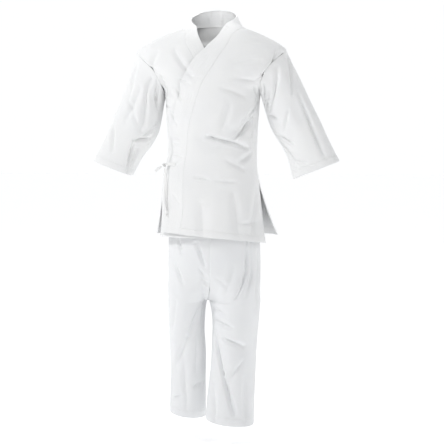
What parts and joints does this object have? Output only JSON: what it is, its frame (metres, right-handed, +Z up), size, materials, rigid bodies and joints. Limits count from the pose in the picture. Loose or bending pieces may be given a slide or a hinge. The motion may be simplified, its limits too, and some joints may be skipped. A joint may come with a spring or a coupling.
{
  "type": "karate uniform",
  "caption": "White cotton wrap jacket with a wide collar band, three-quarter sleeves and a side tie, worn over straight trousers, all hollow as on a body.",
  "frame": {"origin": "centre of the neck where it meets the shoulders, the place where a wearer's neck base sits", "axes": "+Z up along the body, +X towards the wearer's left, -Y the front"},
  "size_m": [0.8423, 0.2664, 1.4129],
  "materials": {
    "jacket_back": "matt woven cotton canvas, white",
    "jacket_front_under": "matt woven cotton canvas, white",
    "jacket_front_over": "matt woven cotton canvas, white",
    "jacket_collar": "thick stitched cotton band, white",
    "jacket_sleeve_left": "matt woven cotton canvas, white",
    "jacket_sleeve_right": "matt woven cotton canvas, white",
    "trouser_leg_left": "matt woven cotton canvas, white",
    "trouser_leg_right": "matt woven cotton canvas, white",
    "trouser_gusset": "matt woven cotton canvas, white",
    "trouser_waistband": "matt woven cotton canvas, white",
    "tie": "soft cotton tape, white"
  },
  "bodies": {
    "root": {"jacket_back": "jacket_back", "jacket_front_under": "jacket_front_under", "jacket_front_over": "jacket_front_over", "jacket_collar": "jacket_collar", "jacket_sleeve_left": "jacket_sleeve_left", "jacket_sleeve_right": "jacket_sleeve_right", "tie_tab": "tie", "tie_knot": "tie", "tie_long_end": "tie", "tie_short_end": "tie", "tie_tip": "tie", "trouser_leg_left": "trouser_leg_left", "trouser_leg_right": "trouser_leg_right", "trouser_gusset": "trouser_gusset", "trouser_waistband": "trouser_waistband"}
  },
  "joints": []
}
